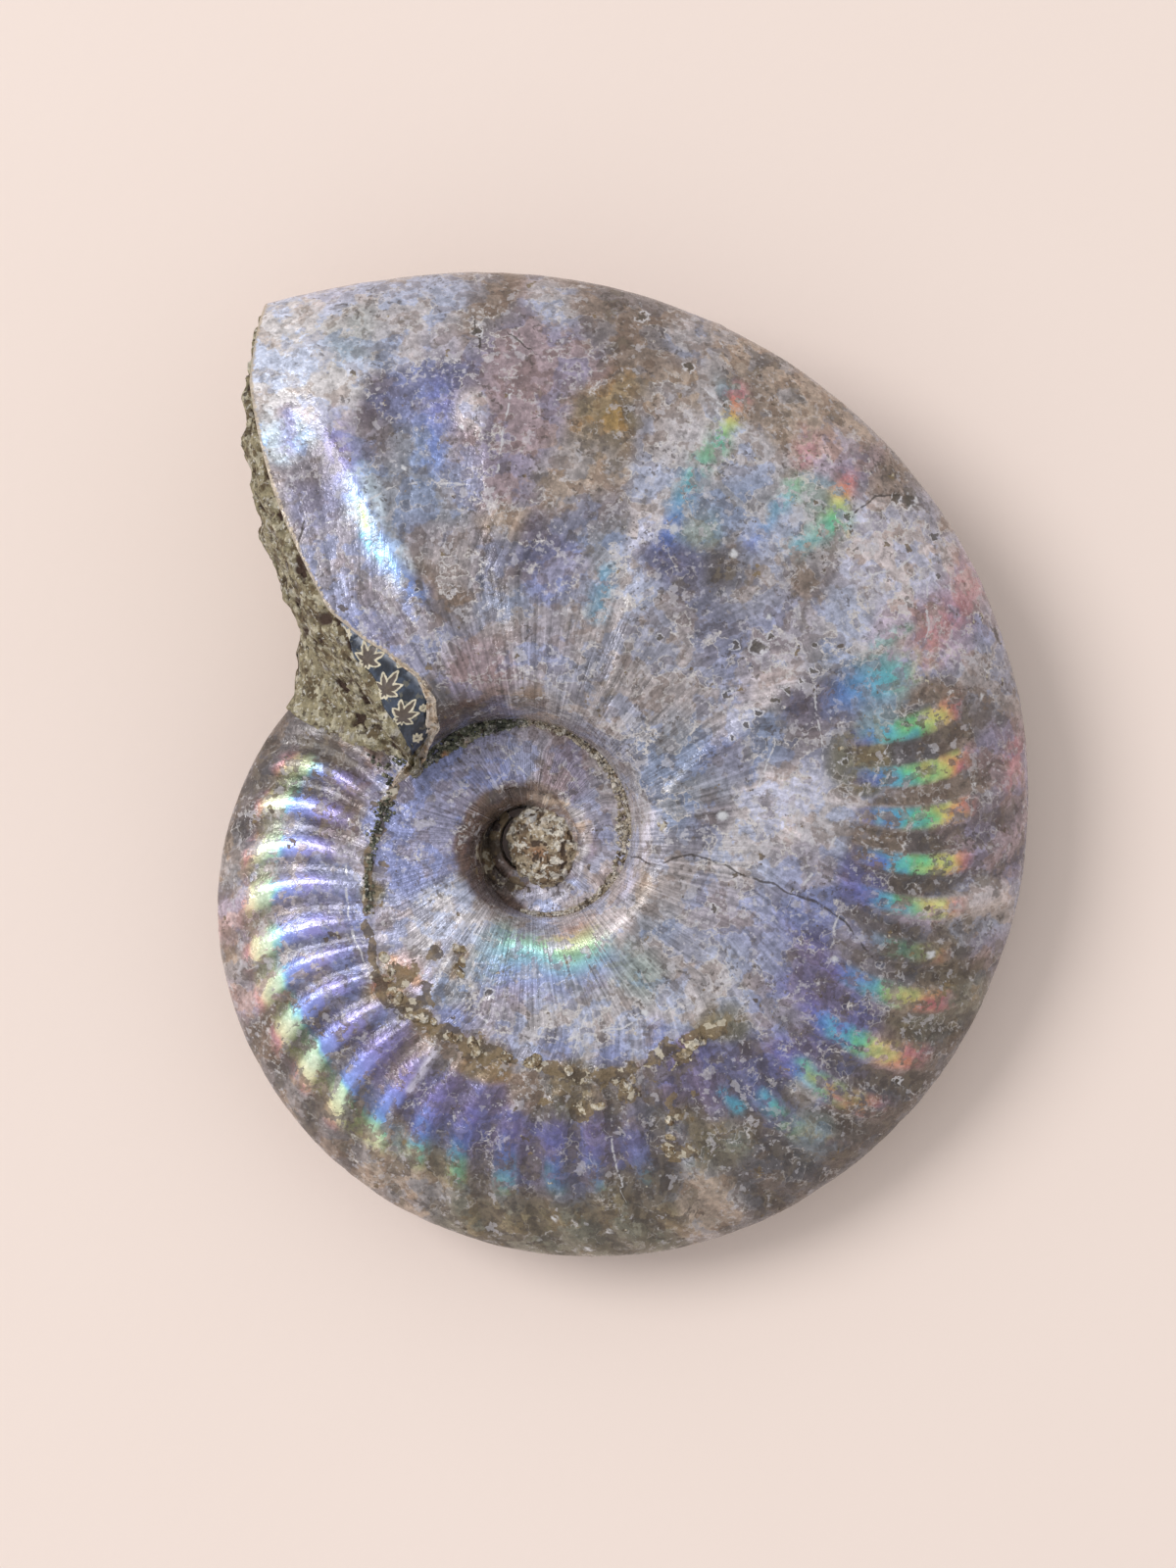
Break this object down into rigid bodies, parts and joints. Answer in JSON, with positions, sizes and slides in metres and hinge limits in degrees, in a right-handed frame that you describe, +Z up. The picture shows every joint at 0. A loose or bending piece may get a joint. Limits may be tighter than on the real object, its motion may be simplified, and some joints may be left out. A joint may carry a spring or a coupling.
{
  "type": "ammonite fossil",
  "caption": "Coiled iridescent ammonite fossil, lying on its flank, with ribbed whorls, a sunken umbilicus and a broken aperture filled with sediment.",
  "frame": {"origin": "middle of the fossil's footprint, on the surface it lies on", "axes": "+Z up out of the surface, through the upper flank; +Y across the coil's greatest length, towards the outer edge behind the aperture; +X across its width, away from the aperture"},
  "size_m": [0.0698, 0.0844, 0.0254],
  "materials": {
    "iridescent_shell": "polished mother-of-pearl shell in mottled lavender, blue-violet and brown-grey, with olive-brown sediment in the break and the umbilicus"
  },
  "bodies": {
    "root": {"ammonite": "iridescent_shell"}
  },
  "joints": []
}
